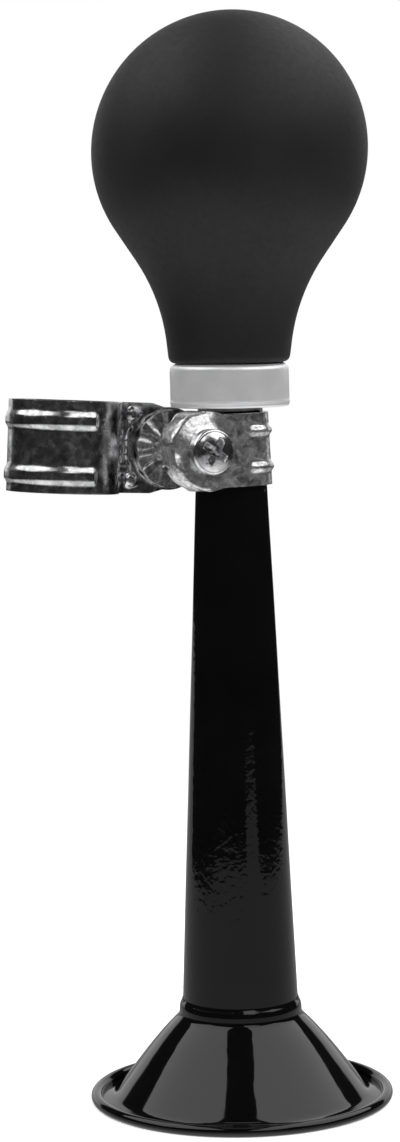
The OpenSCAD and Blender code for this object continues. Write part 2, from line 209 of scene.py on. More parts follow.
# %% Aluminium
satin_aluminium, tree, shader = finish("satin_aluminium", Metallic=0.56, Anisotropic=0.8)
tree.links.new(ramp(tree, noise(tree, 6, 4), [(0.25, (0.78, 0.78, 0.79)), (0.8, (0.92, 0.92, 0.93))]),
               shader.inputs["Base Color"])
tree.links.new(ramp(tree, noise(tree, 2, 4), [(0.3, 0.30), (0.75, 0.42)]), shader.inputs["Roughness"])
bump(tree, shader, noise(tree, 1.5, 3, (0.15, 0.15, 5)), 0.02, 0.25)
pits_per_m = 420
pits = tree.nodes.new("ShaderNodeTexVoronoi")
pits.inputs["Scale"].default_value = pits_per_m
tree.links.new(place(tree), pits.inputs["Vector"])
bump(tree, shader, ramp(tree, pits.outputs["Distance"], [(0.06, 0.0), (0.14, 1.0)]), 0.05, 0.6)
print(satin_aluminium.name, "has", len(tree.nodes), "nodes")

# %% [markdown]
# ## Plated steel
# The bracket is stamped steel with a thin bright plating. Cheap plating is mottled: bright and
# stained patches lie side by side, the roughness changes with them, and the sheet under it is
# dented and wavy, so reflections break up. Two noises, one coarse and bent, one fine, make the
# mottling. The strap's plating is the cloudiest, so some plain grey is mixed with its metal.

# %% Plated steel
def plating(name, dark, bright, patch_mm, haze, wave_mm, metal=1.0):
    """A bright plating with stains of the given size and haze over a wavy sheet."""
    material, tree, shader = finish(name, Metallic=metal)
    between = tuple(0.5 * (a + b) for a, b in zip(dark, bright))
    stain = noise(tree, patch_mm, 6, (1, 1, 1.3), 0.66, 0.8)
    tree.links.new(ramp(tree, stain, [(0.34, dark), (0.50, between), (0.64, bright)]),
                   shader.inputs["Base Color"])
    tree.links.new(ramp(tree, noise(tree, 1.8, 5, bend=0.5), [(0.3, haze[0]), (0.7, haze[1])]),
                   shader.inputs["Roughness"])
    bump(tree, shader, noise(tree, 8, 1), wave_mm)
    bump(tree, shader, noise(tree, 1.1, 4), 0.02)
    return material


clamp_plating = plating("clamp_plating", (0.34, 0.34, 0.345), (0.88, 0.88, 0.89), 3.5, (0.16, 0.30), 0.10)
strap_plating = plating("strap_plating", (0.20, 0.20, 0.205), (1.0, 1.0, 1.0), 2.6, (0.15, 0.28), 0.10,
                        metal=0.86)
zinc_hardware = plating("zinc_hardware", (0.60, 0.60, 0.61), (0.90, 0.90, 0.91), 3.0, (0.12, 0.24), 0.03)
print(clamp_plating.name, strap_plating.name, zinc_hardware.name)

# %% [markdown]
# ## Brass and tin
# The reed and its holder sit inside, out of sight, but they are real pieces and are finished too.
# Turned brass has close rings left by the tool and a faint brown tarnish; the ferrule in the tube's
# top is tinned, a soft grey with blotches. These pieces keep their solids and only get the finish.

# %% Brass and tin
turned_brass, tree, shader = finish("turned_brass", Metallic=1.0)
tree.links.new(ramp(tree, noise(tree, 5, 4), [(0.3, (0.52, 0.38, 0.15)), (0.7, (0.78, 0.61, 0.29))]),
               shader.inputs["Base Color"])
tree.links.new(ramp(tree, noise(tree, 1, 3), [(0.3, 0.16), (0.7, 0.32)]), shader.inputs["Roughness"])
bump(tree, shader, noise(tree, 0.6, 2, (0.1, 0.1, 6)), 0.02, 0.4)

tinned_ferrule, tree, shader = finish("tinned_ferrule", Metallic=1.0)
blotches = noise(tree, 4, 4, bend=0.8)
tree.links.new(ramp(tree, blotches, [(0.35, (0.50, 0.50, 0.48)), (0.7, (0.70, 0.70, 0.68))]),
               shader.inputs["Base Color"])
tree.links.new(ramp(tree, noise(tree, 2, 3), [(0.3, 0.28), (0.7, 0.45)]), shader.inputs["Roughness"])

inner_pieces = {"reed_holder": turned_brass, "reed_shallot": turned_brass, "reed_tongue": turned_brass,
                "reed_ring": turned_brass, "throat_socket": tinned_ferrule}
for node, material in inner_pieces.items():
    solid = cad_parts[node]
    for slot in solid.material_slots:
        slot.material = material
print("finished inside:", ", ".join(inner_pieces))

# %% [markdown]
# ## Helpers for shapes
# Round pieces are turned: an outline of radius and height is spun round the horn's axis. Sheet
# pieces are pressed: a grid of points on the outer face gets the sheet's thickness and softened
# edges. Both end in the same place, where the mesh becomes a piece with a body to ride on.

# %% Making a piece
def set_piece(name, mesh, material, body, solid):
    """Makes the mesh a piece that stands for its solid and rides on a body."""
    mesh.shade_smooth()
    piece = bpy.data.objects.new(name, mesh)
    bpy.context.scene.collection.objects.link(piece)
    piece.data.materials.append(material)
    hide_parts(solid)
    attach(piece, body)
    print(name, "has", len(mesh.polygons), "faces")
    return piece


print("pieces can be set")

# %% [markdown]
# Outlines are made of arcs. Forms that rise from a face, such as a bead or a tooth, go up and down
# by one S-shaped curve: it starts and ends level, so no crease shows where the form begins.

# %% Arcs and easing
def polar(r, degrees):
    """The point at a radius and an angle."""
    a = math.radians(degrees)
    return r * math.cos(a), r * math.sin(a)


def arc(cx, cy, r, start, end, steps=12):
    """Points along an arc, angles in degrees, ends included."""
    points = [polar(r, start + (end - start) * i / steps) for i in range(steps + 1)]
    return [(cx + x, cy + y) for x, y in points]


def ease(x):
    """Runs smoothly from 0 to 1 as x does, and stays there outside."""
    x = min(1.0, max(0.0, x))
    return x * x * (3 - 2 * x)


print("arc and ease ready, ease(0.5) is", ease(0.5))

# %% [markdown]
# Blender's Screw modifier could spin an outline too. Here it is done point by point, which leaves
# room for a shape function that moves single points: a crimp, a dent, a cross recess or a thread.

# %% Turning
def turn(name, outline, steps=160, shape=None, put=None, sharp=40):
    """Spins a closed outline of (radius, height) in mm. shape may change a point (angle, radius,
    height), and put is a matrix that may move the piece from the axis of turning to its place."""
    bm = bmesh.new()
    rings = []
    for k in range(steps):
        a = 2 * math.pi * k / steps
        ring = []
        for r, z in outline:
            if shape and r > 0:
                r, z = shape(a, r, z)
            ring.append(bm.verts.new((r * math.cos(a) * MM, r * math.sin(a) * MM, z * MM)))
        rings.append(ring)
    n = len(outline)
    for k in range(steps):
        here, there = rings[k], rings[(k + 1) % steps]
        for i in range(n):
            j = (i + 1) % n
            if outline[i][0] > 0 or outline[j][0] > 0:
                bm.faces.new((here[i], there[i], there[j], here[j]))
    bmesh.ops.remove_doubles(bm, verts=bm.verts, dist=1e-7)
    bmesh.ops.recalc_face_normals(bm, faces=bm.faces)
    if put:
        bmesh.ops.transform(bm, matrix=put, verts=bm.verts)
    mesh = bpy.data.meshes.new(name)
    bm.to_mesh(mesh)
    bm.free()
    mesh.set_sharp_from_angle(angle=math.radians(sharp))
    return mesh


print("turning ready")

# %% [markdown]
# ## Bulb
# One moulding: a ball that runs through a hollow shoulder into a slightly tapered neck, and curls in
# just above the collar. A sphere with a cone would show a crease at the shoulder, so the outline is
# a chain of arcs that meet in line, spun with many steps.

# %% Bulb
collar_low, collar_high = (Vector(v).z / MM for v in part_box("bulb_collar"))
bulb_low, bulb_top = (Vector(v).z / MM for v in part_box("squeeze_bulb"))
bulb_r, bulb_wall = 30.0, 2.4
bulb_z = bulb_top - bulb_r
shoulder_slope, neck_slope, waist_r, shoulder_run = 34.0, 6.8, 41.0, 8.0
neck_r, curl_gap = 11.8, 0.1
lean = Vector((0.866, -0.5)) * 0.85

cos_s, sin_s = polar(1, shoulder_slope)
shoulder = (bulb_r * cos_s - shoulder_run * sin_s, bulb_z - bulb_r * sin_s - shoulder_run * cos_s)
waist = (shoulder[0] + waist_r * cos_s, shoulder[1] - waist_r * sin_s)


def bulb_skin(inset, low_z, steps):
    """Outline of the bulb's face, or of its hollow, from the top down to low_z."""
    r = waist_r + inset
    a = math.radians(neck_slope)
    end = (waist[0] - r * math.cos(a), waist[1] + r * math.sin(a))
    foot = end[0] - (end[1] - low_z) * math.tan(a)
    return (arc(0, bulb_z, bulb_r - inset, 90, -shoulder_slope, steps)
            + arc(*waist, r, 180 - shoulder_slope, 180 - neck_slope, steps // 3)
            + [(foot + (end[0] - foot) * t, low_z + (end[1] - low_z) * t) for t in (0.75, 0.5, 0.25, 0)])


print("the bulb's middle is", round(bulb_z, 1), "mm up")

# %% [markdown]
# The skin, the curl at its foot and the hollow join up to one closed outline. The real bulb leans a
# little, less than a millimetre to the right, so points are pushed over more the higher they are.

# %% Bulb: the moulding
neck_foot = bulb_skin(0, collar_high + 1.3, 6)[-1][0]
curl_r = neck_foot - neck_r
curl_z = collar_high + curl_gap + curl_r
skin = bulb_skin(0, curl_z, 60)
skin[0] = (0.0, skin[0][1])
curl = arc(neck_r, curl_z, curl_r, 0, -90, 6)[1:]
hollow = bulb_skin(bulb_wall, collar_high + 3, 30)
hollow[0] = (0.0, hollow[0][1])
bore_r = neck_r - bulb_wall
neck = [(neck_r, bulb_low), (bore_r, bulb_low), (bore_r, collar_high)]
bulb_mesh = turn("rubber_bulb", skin + curl + neck + hollow[::-1], 160)
for v in bulb_mesh.vertices:
    push = max(0.0, v.co.z / MM - collar_high) / (bulb_z - collar_high)
    v.co.x += lean.x * push * MM
    v.co.y += lean.y * push * MM
rubber_bulb = set_piece("rubber_bulb", bulb_mesh, matt_rubber, "horn", "squeeze_bulb")
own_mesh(rubber_bulb)

# %% [markdown]
# ## Collar
# A pressed cap with a rounded shoulder, a rounded foot, and a faint ridge just above the foot where
# it was trimmed. Its lip was crimped by hand, so it isn't quite level: the shape function lifts and
# lowers the top edge by a tenth of a millimetre.

# %% Collar
collar_r, collar_wall, collar_shoulder = 13.0, 0.9, 1.6
lip_r, spigot_r, foot_r = neck_r + 0.15, 5.1, 0.6
trim_ridge = [(0.0, 0.85), (0.09, 1.0), (0.09, 1.15), (0.0, 1.3)]
shoulder_x, shoulder_z = collar_r - collar_shoulder, collar_high - collar_shoulder
fold_r = collar_shoulder - collar_wall
lip_angle = math.degrees(math.acos((lip_r - shoulder_x) / collar_shoulder))
fold_angle = math.degrees(math.acos(min(1, (lip_r - shoulder_x) / fold_r)))
collar_outline = ([(spigot_r, collar_low)]
                  + arc(collar_r - foot_r, collar_low + foot_r, foot_r, -90, 0, 6)
                  + [(collar_r + out, collar_low + up) for out, up in trim_ridge]
                  + [(collar_r, z) for z in np.linspace(collar_low + 1.8, shoulder_z, 10)[:-1]]
                  + arc(shoulder_x, shoulder_z, collar_shoulder, 0, lip_angle, 12)
                  + arc(shoulder_x, shoulder_z, fold_r, fold_angle, 0, 6)
                  + [(collar_r - collar_wall, collar_low + collar_wall),
                     (spigot_r, collar_low + collar_wall)])


def crimp(a, r, z):
    """Lifts and lowers the collar's upper edge a little, round its turn."""
    high = ease((z - collar_low - 4) / 4)
    return r + 0.05 * high * math.sin(5 * a + 1), z + 0.08 * high * math.sin(2 * a + 0.6)


set_piece("spun_collar", turn("spun_collar", collar_outline, 160, crimp), satin_aluminium,
          "horn", "bulb_collar")

# %% [markdown]
# ## Tube
# Sheet rolled into a long cone and seamed. Under enamel the seam doesn't show, and the cone is
# straight, so an outline of a few rows would do; more rows are kept so that tiny dents can be
# pressed in. The bell's neck hides the tube's foot.

# %% Tube
tube_low, tube_high = (Vector(v).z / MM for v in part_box("horn_tube"))
tube_foot_r, tube_top_r, tube_wall = 12.9, 7.1, 0.6


def tube_r(z):
    """Outer radius of the tube at height z."""
    return tube_top_r + (tube_high - z) * (tube_foot_r - tube_top_r) / (tube_high - tube_low)


def dent(a, r, z):
    """Makes the tube a touch uneven, as rolled sheet is."""
    return r + 0.025 * math.sin(2 * a + z / 21) * math.sin(z / 9 + a), z


heights = np.linspace(tube_low, tube_high, 90)
tube_outline = [(tube_r(z), z) for z in heights] + [(tube_r(z) - tube_wall, z) for z in heights[::-1]]
set_piece("rolled_tube", turn("rolled_tube", tube_outline, 160, dent), tube_enamel,
          "horn", "horn_tube")

# %% [markdown]
# ## Bell
# A separate pressing, slid over the tube's foot: a short straight neck with a lip drawn in on to the
# tube, a cone that swells outward, a gutter and a bead rolled round the rim. A straight cone looked
# too thin beside the photo, so the cone is one bending curve with a slope given at each end.

# %% Bell: the cone
bell_high, bell_wall, neck_h, bell_neck_r = 22.8, 0.7, 3.6, 13.6
rim_r, bead_r, gutter_w, gutter_z = 33.6, 1.25, 2.9, 0.8
crown_slope, foot_slope = 43.0, 52.0
bead_z, bead_centre, bead_in = bead_r - 0.15, rim_r - bead_r, rim_r - 2 * bead_r
cone_top = np.array([bell_neck_r, bell_high - neck_h])
cone_foot = np.array([bead_in - gutter_w, 1.6])
cone_reach = np.linalg.norm(cone_foot - cone_top) / 3


def down(slope):
    """Direction that runs outward and down at a slope from level."""
    out, drop = polar(1, slope)
    return np.array([out, -drop])


def bell_cone(inset, steps):
    """The cone from neck to gutter, a bending curve, inset from the outer face."""
    aims = [cone_top, cone_top + cone_reach * down(crown_slope),
            cone_foot - cone_reach * down(foot_slope), cone_foot]
    points = []
    for t in np.linspace(0, 1, steps):
        weights = [(1 - t) ** 3, 3 * t * (1 - t) ** 2, 3 * t * t * (1 - t), t ** 3]
        slopes = [-3 * (1 - t) ** 2, 3 * (1 - t) * (1 - 3 * t), 3 * t * (2 - 3 * t), 3 * t * t]
        at = sum(w * a for w, a in zip(weights, aims))
        run = sum(s * a for s, a in zip(slopes, aims))
        run = run / np.linalg.norm(run)
        points.append(at - inset * np.array([-run[1], run[0]]))
    return points


print("the cone is", round(cone_foot[0] - cone_top[0], 1), "mm wide and",
      round(cone_top[1] - cone_foot[1], 1), "mm high")

# %% [markdown]
# The gutter slopes out and down, and its end runs in under the bead, which leaves the dark line that
# shows at the left and behind. Enamel fills corners, so the neck's foot and the gutter get small
# curves instead of sharp edges. The edge of the neck's sheet shows through the enamel for a short
# stretch only: the outline has a step there that the shape function opens where it is wanted.

# %% Bell: lip, gutter and bead
def fillet(start, corner, end, steps=6):
    """A small curve from start to end, drawn towards the corner."""
    start, corner, end = np.array(start), np.array(corner), np.array(end)
    return [tuple((1 - t) ** 2 * start + 2 * t * (1 - t) * corner + t * t * end)
            for t in np.linspace(0, 1, steps)]


bead_start = 192
under = math.degrees(math.asin((gutter_z - bell_wall - bead_z) / bead_r))
bead = [(bead_in + 0.3, gutter_z)] + [
    (r, max(0.0, z)) for r, z in arc(bead_centre, bead_z, bead_r, bead_start, -180 - under, 40)]
lip_drops = [(12.9, 0), (12.99, 0.25), (13.1, 0.52), (13.2, 0.74), (13.22, 0.77), (13.31, 0.99),
             (13.43, 1.3), (13.54, 1.75), (13.57, 2.0), (13.6, 2.4)]
lip = [(r, bell_high - drop) for r, drop in lip_drops]
lip_edge = bell_high - 0.755


def lip_nick(a, r, z):
    """Opens the step at the edge of the neck's sheet over a stretch of the turn."""
    stretch = ease((24 - abs(math.degrees(a) - 211)) / 6)
    if abs(z - lip_edge) < 0.03:
        r += 0.05 * stretch * (1 if z < lip_edge else -1)
    return r, z


outer = bell_cone(0, 40)
crown = fillet((bell_neck_r, cone_top[1] + 0.75), cone_top, outer[2])
gutter_start = cone_foot + np.array([0.6, -0.17])
gutter = fillet(outer[-3], cone_foot, gutter_start) + [(bead_in - 0.1, gutter_z)]
inner = [tuple(p) for p in bell_cone(bell_wall, 30)]
bell_outline = (lip + crown + [tuple(p) for p in outer[3:-3]] + gutter + bead + inner[::-1]
                + [(bell_neck_r - bell_wall, cone_top[1]), (bell_neck_r - bell_wall, bell_high - 0.4)])
set_piece("flared_bell", turn("flared_bell", bell_outline, 256, lip_nick), bell_enamel,
          "horn", "horn_bell")

# %% [markdown]
# ## Helpers for pressed sheet
# Strap and clamp are stamped from sheet and folded. Each is a band that ends in two round ears with a
# screw hole. The ear is a loft: rays run from the hole's edge out to the border, which keeps the round
# edge and the hole clean and lets teeth be pressed along the rays. The band is a plain grid whose
# first and last columns are the ears' straight sides.

# %% An ear
def ear_border(side_u, half_h, ear_r, start, knee_u, side_steps=48, arc_step=2.0):
    """Border of an ear about its screw: up the straight side, along the top, round the ear, back."""
    side = [(side_u, -half_h + 2 * half_h * i / side_steps) for i in range(side_steps + 1)]
    edge = [(side_u + (knee_u - side_u) * t, half_h) for t in (0.2, 0.4, 0.6, 0.8, 1.0)]
    start_u, start_w = polar(ear_r, start)
    run_u, run_w = start_u - knee_u, start_w - half_h
    if abs(run_u) > 0.3:
        edge += [(knee_u + run_u * t, half_h + run_w * t) for t in (0.33, 0.66)]
    else:
        edge = edge[:-1]
    round_end = arc(0, 0, ear_r, start, 360 - start, int((360 - 2 * start) / arc_step))
    return side + edge + round_end + [(u, -w) for u, w in edge[::-1]]


def turned_back(at, way, rim, depth, t):
    """A point of the edge's curl: a quarter round of radius rim, then straight back to the depth."""
    if t < 0.5:
        a = math.pi * t
        return np.array([*(at + way * rim * math.sin(a)), rim * (1 - math.cos(a))])
    run = (2 * t - 1) * max(0.0, depth - rim)
    return np.array([*(at + way * (rim + 0.08 * run)), rim + run])


def ear_loft(border, hole_r, rows=26, rim=1.3, rim_rows=8, skirt=None):
    """Rows of (u, w, back) from the hole to the border. skirt(angle) gives how far the edge is
    turned back."""
    loop = np.array(border)
    out = loop / np.linalg.norm(loop, axis=1)[:, None]
    inner = loop - out * rim
    angle = np.arctan2(inner[:, 1], inner[:, 0])
    hole = np.stack([np.cos(angle), np.sin(angle)], 1) * hole_r
    grid = [[(*p, 0.0) for p in hole + (inner - hole) * i / rows] for i in range(rows + 1)]
    for i in range(1, rim_rows + 1):
        t = i / rim_rows
        row = []
        for at, way, a in zip(inner, out, angle):
            point = np.array([*(at + way * rim * t), 0.0])
            depth = skirt(math.degrees(a) % 360) if skirt else 0.0
            if depth > 0:
                point += (turned_back(at, way, rim, depth, t) - point) * ease(depth / (1.6 * rim))
            row.append(tuple(point))
        grid.append(row)
    return grid


print("ear helpers ready")

# %% [markdown]
# Only the sheet's outer face is laid out, as patches that meet point for point. A Solidify modifier
# gives it its thickness inward, and a narrow Bevel the softened edges that catch the light.

# %% Pressing
def press(name, patches, thickness_mm, outward, edge_mm=0.16):
    """Joins patches of outer-face points, in metres, gives them thickness inward and softens the
    edges. A patch is (rows, closed). outward is roughly where the first patch's outer face looks."""
    bm = bmesh.new()
    for rows, closed in patches:
        points = [[bm.verts.new(p) for p in row] for row in rows]
        count = len(points[0])
        for i in range(len(points) - 1):
            for j in range(count if closed else count - 1):
                k = (j + 1) % count
                bm.faces.new((points[i][j], points[i][k], points[i + 1][k], points[i + 1][j]))
    bmesh.ops.remove_doubles(bm, verts=bm.verts, dist=2e-6)
    bmesh.ops.recalc_face_normals(bm, faces=bm.faces)
    bm.faces.ensure_lookup_table()
    near = min(bm.faces, key=lambda f: (f.calc_center_median() - Vector(patches[0][0][3][0])).length)
    if near.normal.dot(Vector(outward)) < 0:
        bmesh.ops.reverse_faces(bm, faces=bm.faces)
    mesh = bpy.data.meshes.new(name)
    bm.to_mesh(mesh)
    bm.free()
    sheet = bpy.data.objects.new(name + "_flat", mesh)
    bpy.context.scene.collection.objects.link(sheet)
    thick = sheet.modifiers.new("thickness", "SOLIDIFY")
    thick.thickness, thick.offset, thick.use_even_offset = thickness_mm * MM, -1, True
    soft = sheet.modifiers.new("edges", "BEVEL")
    soft.width, soft.segments = edge_mm * MM, 2
    soft.limit_method, soft.angle_limit = "ANGLE", math.radians(55)
    built = sheet.evaluated_get(bpy.context.evaluated_depsgraph_get())
    done = bpy.data.meshes.new_from_object(built)
    bpy.data.objects.remove(sheet)
    done.name = name
    done.set_sharp_from_angle(angle=math.radians(50))
    return done


print("pressing ready")

# %% [markdown]
# ## Tube strap
# The strap is a U of 1.1 mm sheet round the tube, with two beads pressed in it for stiffness. Its
# front ear is a shallow cup: the face falls back from the screw towards the free end, and the edge
# there is turned back by 5 mm and came out wavy, with a nick. Its back ear has teeth pressed from
# outside, so they stand up inside like drops round the screw, and they lock into the clamp. Small
# functions give the height of each form at a point of the ear: that is easier to fit to a photo than
# sculpting, and the sheet stays one clean grid.

# %% Tube strap: the ears' forms
strap_z, screw_x = 144.8, 10.472
ear_out, strap_t, strap_half, ear_r = 8.968, 1.1, 7.9, 8.6
strap_gap, side_x, hole_r = 0.06, -3.0, 2.7
skirt_deep, nick_deep, nick_at = 4.6, 1.6, 203
tooth_high, tooth_first, tooth_step = 0.75, 126, 30


def strap_skirt(angle):
    """How far the front ear's edge is turned back, with its waves and a nick."""
    free = ease((92 - abs(angle - 180)) / 16)
    wave = 0.45 * math.sin(math.radians(angle * 7 + 40)) + 0.25 * math.sin(math.radians(angle * 13))
    nick = nick_deep * math.exp(-((angle - nick_at) / 3.5) ** 2)
    return free * (skirt_deep + wave - nick)


def front_dome(u, w):
    """How far the front ear's face falls back towards its free edge."""
    r = math.hypot(u, w)
    fall = 0.5 * max(0.0, r - 5.0) + 0.15 * ease((r - 4.6) / 0.8)
    return fall * ease((5.5 - u) / 7) * ease((w + 4) / 5)


def back_tooth(u, w):
    """Height of the drop-shaped teeth pressed in the back ear's free end."""
    r, a = math.hypot(u, w), math.degrees(math.atan2(w, u)) % 360
    from_middle = (a - tooth_first + tooth_step / 2) % tooth_step - tooth_step / 2
    aside = r * math.sin(math.radians(from_middle))
    half = 0.5 + 0.16 * (r - 4)
    free = ease((112 - abs(a - 180)) / 8) * ease((r - 3.5) / 1.2)
    return tooth_high * free * ease((half - abs(aside)) / half)


print("teeth every", tooth_step, "degrees")

# %% [markdown]
# The band between the ears goes round a tube that tapers, while the ears are upright. So each row of
# the grid has its own radius, and eases from the flat ear into it.

# %% Tube strap: the band
strap_bead_at, strap_bead_high, strap_bead_half = 3.95, 0.62, 1.35


def strap_radius(z):
    """Outer radius of the strap where it goes round the tube."""
    return tube_r(z) + strap_gap + strap_t


def strap_bead(w, turned):
    """Height of the two stiffening beads at offset w, turned degrees from the strap's middle."""
    lift = sum(ease((strap_bead_half - abs(w - middle)) / 1.2)
               for middle in (-strap_bead_at, strap_bead_at))
    return strap_bead_high * lift * ease((96 - abs(turned)) / 14)


strap_path = []
for w in np.linspace(-strap_half, strap_half, 49):
    z = strap_z + w
    r = strap_radius(z)
    side = [(x, -(ear_out + (r - ear_out) * ease((x - side_x) / -side_x)))
            for x in np.linspace(side_x, 0, 10)]
    bend = [polar(r + strap_bead(w, a), a) for a in np.linspace(-90, 90, 73)]
    line = side[:-1] + bend + [(x, -y) for x, y in side[-2::-1]]
    strap_path.append([(x * MM, y * MM, z * MM) for x, y in line])
print("the band is", len(strap_path), "rows of", len(strap_path[0]), "points")

# %% [markdown]
# Each ear is lofted flat about the screw's axis, then pushed in or out by its forms. Its straight
# side has the same points as the band's first or last column, so the three patches close up.

# %% Tube strap: the sheet
def strap_point(u, y, w):
    """A point of an ear, u and w from the screw's axis, put in its place on the horn."""
    return (u - screw_x) * MM, y * MM, (strap_z + w) * MM


round_start = math.degrees(math.asin(strap_half / ear_r))
strap_border = ear_border(side_x + screw_x, strap_half, ear_r, round_start,
                          math.sqrt(ear_r ** 2 - strap_half ** 2))
front_ear = [[strap_point(u, -ear_out + back + front_dome(u, w), w) for u, w, back in row]
             for row in ear_loft(strap_border, hole_r, rim=0.8, skirt=strap_skirt)]
back_ear = [[strap_point(u, ear_out - back_tooth(u, w), w) for u, w, _ in row]
            for row in ear_loft(strap_border, hole_r, rows=30)]
strap_mesh = press("folded_strap", [(front_ear, True), (strap_path, False), (back_ear, True)],
                   strap_t, (0, -1, 0))
set_piece("folded_strap", strap_mesh, strap_plating, "strap", "tube_strap")

# %% [markdown]
# ## Handlebar clamp
# One strip bent into a loop for a 22.2 mm bar, with two arms that lie side by side and end in round
# ears. Two beads run round the loop's outer side and stop short of the bends. They came out of the
# press uneven, one flank steeper than the other. A row of studs on the near ear stands just outside
# the strap's ear and shows as bright spots. The clamp was left standing 3.5 degrees up, so every
# point is turned about the screw before the sheet is pressed.

# %% Handlebar clamp: its forms
clamp_y, clamp_half, clamp_t, clamp_slit = 10.668, 9.9, 1.1, 1.0
loop_r, bend_r, bar_reach, clamp_ear_r = 12.2, 2.8, 25.0, 9.1
clamp_tilt = math.radians(3.5)
stud_angles, stud_ring, stud_r, stud_high = (142, 156, 172, 187, 202, 216), 11.9, 1.2, 0.8
clamp_beads, clamp_bead_high, crest, steep_flank, slack_flank = (-6.3, 5.5), 0.6, 0.7, 1.2, 1.8


def clamp_point(x, y, z):
    """A point of the clamp, x from the bar's middle towards the screw, put in its place."""
    u = x - bar_reach
    return ((u * math.cos(clamp_tilt) + z * math.sin(clamp_tilt) - screw_x) * MM, (clamp_y + y) * MM,
            (strap_z - u * math.sin(clamp_tilt) + z * math.cos(clamp_tilt)) * MM)


def stud(u, w):
    """Height of the row of studs that stand outside the strap's ear."""
    far = [math.hypot(u + x, w - y) for x, y in (polar(stud_ring, a) for a in stud_angles)]
    return stud_high * ease(1.6 - min(far) / stud_r)


def clamp_bead(w, angle):
    """Height of the loop's two beads, angle measured round the loop from the screw's side."""
    lift = 0.0
    for middle in clamp_beads:
        flank = slack_flank if w > middle else steep_flank
        lift += ease((crest + flank - abs(w - middle)) / flank)
    return clamp_bead_high * lift * ease((98 - abs(angle - 180)) / 2.5)


print(len(stud_angles), "studs and", len(clamp_beads), "beads")

# %% [markdown]
# The strip runs from one arm through a small bend into the loop, and back the same way. Bend and
# loop are arcs that meet in line, so their middles are as far apart as their radii together.

# %% Handlebar clamp: the sheet
arm_y = clamp_slit / 2 + clamp_t
bend_dy = arm_y + bend_r
bend_dx = math.sqrt((loop_r + bend_r) ** 2 - bend_dy ** 2)
bend_angle = math.degrees(math.atan2(bend_dy, bend_dx))
near_bend = arc(bend_dx, -bend_dy, bend_r, 90, 180 - bend_angle, 10)
far_bend = [(x, -y) for x, y in near_bend[::-1]]
clamp_path = []
for w in np.linspace(-clamp_half, clamp_half, 65):
    loop = [polar(loop_r + clamp_bead(w, a), a)
            for a in np.linspace(360 - bend_angle, bend_angle, 132)[1:-1]]
    clamp_path.append([clamp_point(x, y, w) for x, y in near_bend + loop + far_bend])

clamp_border = ear_border(bar_reach - bend_dx, clamp_half, clamp_ear_r, 82, 4.5, side_steps=64)
near_ear = [[clamp_point(bar_reach - u, -arm_y - stud(u, w), w) for u, w, _ in row]
            for row in ear_loft(clamp_border, hole_r, rows=44)]
far_ear = [[clamp_point(bar_reach - u, arm_y, w) for u, w, _ in row]
           for row in ear_loft(clamp_border, hole_r, rows=20)]
clamp_mesh = press("bar_loop", [(near_ear, True), (clamp_path, False), (far_ear, True)],
                   clamp_t, (0, -1, 0))
set_piece("bar_loop", clamp_mesh, clamp_plating, "clamp", "handlebar_clamp")

# %% [markdown]
# ## Clamp screw
# A pan head with a cross recess, and a thread of 0.8 mm pitch on the end that the nut runs on. The
# recess is dug by lowering the head's rings where a cross lies over them: no boolean is needed, and
# its walls stay sloped as a driver's tip leaves them. The thread is the same trick on the shank: the
# radius follows a zigzag that winds round with the angle.

# %% Clamp screw: recess and thread
screw_r, head_r, head_h, brow_r, dome_r = 2.5, 5.0, 3.2, 4.3, 10.2
screw_end, thread_start, pitch, thread_deep = 21.468, 10.0, 0.8, 0.42
cross_turn, cross_deep, cross_half, cross_reach = math.radians(33), 2.2, 0.8, 3.35


def on_screw(y=0.0):
    """Turns a piece made along Z so that it runs along +Y from the screw's axis."""
    lying = Matrix.Rotation(math.radians(-90), 4, "X")
    return Matrix.Translation((-screw_x * MM, y * MM, strap_z * MM)) @ lying


def cross_depth(x, y):
    """Depth of the cross recess under the head's top."""
    depth = 0.0
    for a in (cross_turn, cross_turn + math.pi / 2):
        along = abs(x * math.cos(a) + y * math.sin(a))
        aside = abs(-x * math.sin(a) + y * math.cos(a))
        wall = ease((cross_half - aside) / 0.35) * ease((cross_reach - along) / 1.3)
        depth = max(depth, cross_deep * wall)
    return depth


def screw_shape(a, r, z):
    """Digs the recess in the head and winds the thread on the shank."""
    on_top, on_thread = z < -1.7 and r < 4.2, z > thread_start + ear_out and r > 1.9
    if on_top:
        z = z + cross_depth(r * math.cos(a), r * math.sin(a))
    if on_thread:
        turn_here = ((z - thread_start) / pitch - a / (2 * math.pi)) % 1.0
        r = r - thread_deep * (1 - abs(2 * turn_here - 1)) * ease((z - thread_start - ear_out) / 0.8)
    return r, z


print("thread of", pitch, "mm pitch")

# %% [markdown]
# The outline has its points close together on the head's top and along the shank. It would be smooth
# with far fewer, but recess and thread can only be as fine as the points that are moved for them.

# %% Clamp screw: the turning
def dome_z(r):
    """Height of the head's domed top at radius r. The head points down here."""
    return -(head_h - (dome_r - math.sqrt(dome_r ** 2 - r * r)))


tip = screw_end + ear_out
top_rings = [(r, dome_z(r)) for r in np.linspace(0, brow_r, 44)]
brow = [(brow_r + 0.7 * math.sin(a), dome_z(brow_r) + 0.75 * (1 - math.cos(a)))
        for a in (math.radians(turned) for turned in range(12, 91, 13))]
shank = [(screw_r, z) for z in np.linspace(0.01, tip - 0.6, 300)]
screw_outline = (top_rings + brow + [(head_r, -0.12), (head_r - 0.12, 0.0), (screw_r + 0.1, 0.0)]
                 + shank + [(screw_r - 0.6, tip), (0.0, tip)])
screw_mesh = turn("cross_head_screw", screw_outline, 160, screw_shape, on_screw(-ear_out), 35)
set_piece("cross_head_screw", screw_mesh, zinc_hardware, "screw", "clamp_screw")

